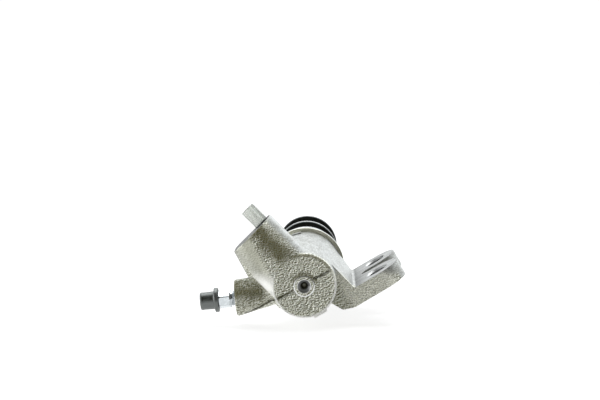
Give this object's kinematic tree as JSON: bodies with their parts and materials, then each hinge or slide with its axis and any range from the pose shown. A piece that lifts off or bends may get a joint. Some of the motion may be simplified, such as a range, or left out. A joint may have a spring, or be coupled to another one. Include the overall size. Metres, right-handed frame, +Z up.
{
  "type": "clutch slave cylinder",
  "caption": "Clutch slave cylinder: cast barrel with angled hose boss, capped bleed screw, two-eared side bracket, rubber bellows boot and sprung push rod.",
  "frame": {"origin": "centre of the front ear's bolt hole, at the top of its bore, 0.9 mm under the machined seat", "axes": "+Y along the bore from the closed end to the push rod, +Z up as pictured, +X to the bracket's side"},
  "size_m": [0.1051, 0.1778, 0.0607],
  "materials": {
    "cast_aluminium": "rough as-cast skin, machined on seats and holes",
    "zinc_steel": "bright zinc plate",
    "cap_rubber": "matt dark grey moulded rubber",
    "plug_plastic": "milky translucent polythene",
    "spring_steel": "drawn spring wire",
    "seal_rubber": "black moulded rubber",
    "piston_aluminium": "fine turned",
    "rod_steel": "bright drawn steel",
    "boot_rubber": "satin black moulded rubber"
  },
  "bodies": {
    "cylinder": {"cylinder_body": "cast_aluminium", "retaining_ring": "spring_steel", "return_spring": "spring_steel", "dust_boot": "boot_rubber"},
    "piston": {"piston": "piston_aluminium", "primary_cup": "seal_rubber", "rear_seal": "seal_rubber", "spring_seat": "zinc_steel", "push_rod": "rod_steel"},
    "bleed_screw": {"bleed_screw": "zinc_steel"},
    "bleed_cap": {"bleed_cap": "cap_rubber"},
    "transit_plug": {"transit_plug": "plug_plastic"}
  },
  "joints": [
    {"name": "piston_slide", "type": "slide", "parent": "cylinder", "child": "piston", "axis": [0, 1, 0], "range_m": [-0.016, 0], "stiffness_N_per_m": 150, "springref_m": 0.02, "deforming": ["return_spring", "dust_boot"]},
    {"name": "bleed_screw_turn", "type": "hinge", "parent": "cylinder", "child": "bleed_screw", "pos_m": [-0.07234, -0.011, -0.01181], "axis": [-0.9949, 0, -0.1011], "range_deg": [0, 360]},
    {"name": "bleed_cap_pull", "type": "slide", "parent": "bleed_screw", "child": "bleed_cap", "axis": [-0.9949, 0, -0.1011], "range_m": [0, 0.012]},
    {"name": "transit_plug_pull", "type": "slide", "parent": "cylinder", "child": "transit_plug", "axis": [-0.7071, 0, 0.7071], "range_m": [0, 0.015]}
  ]
}
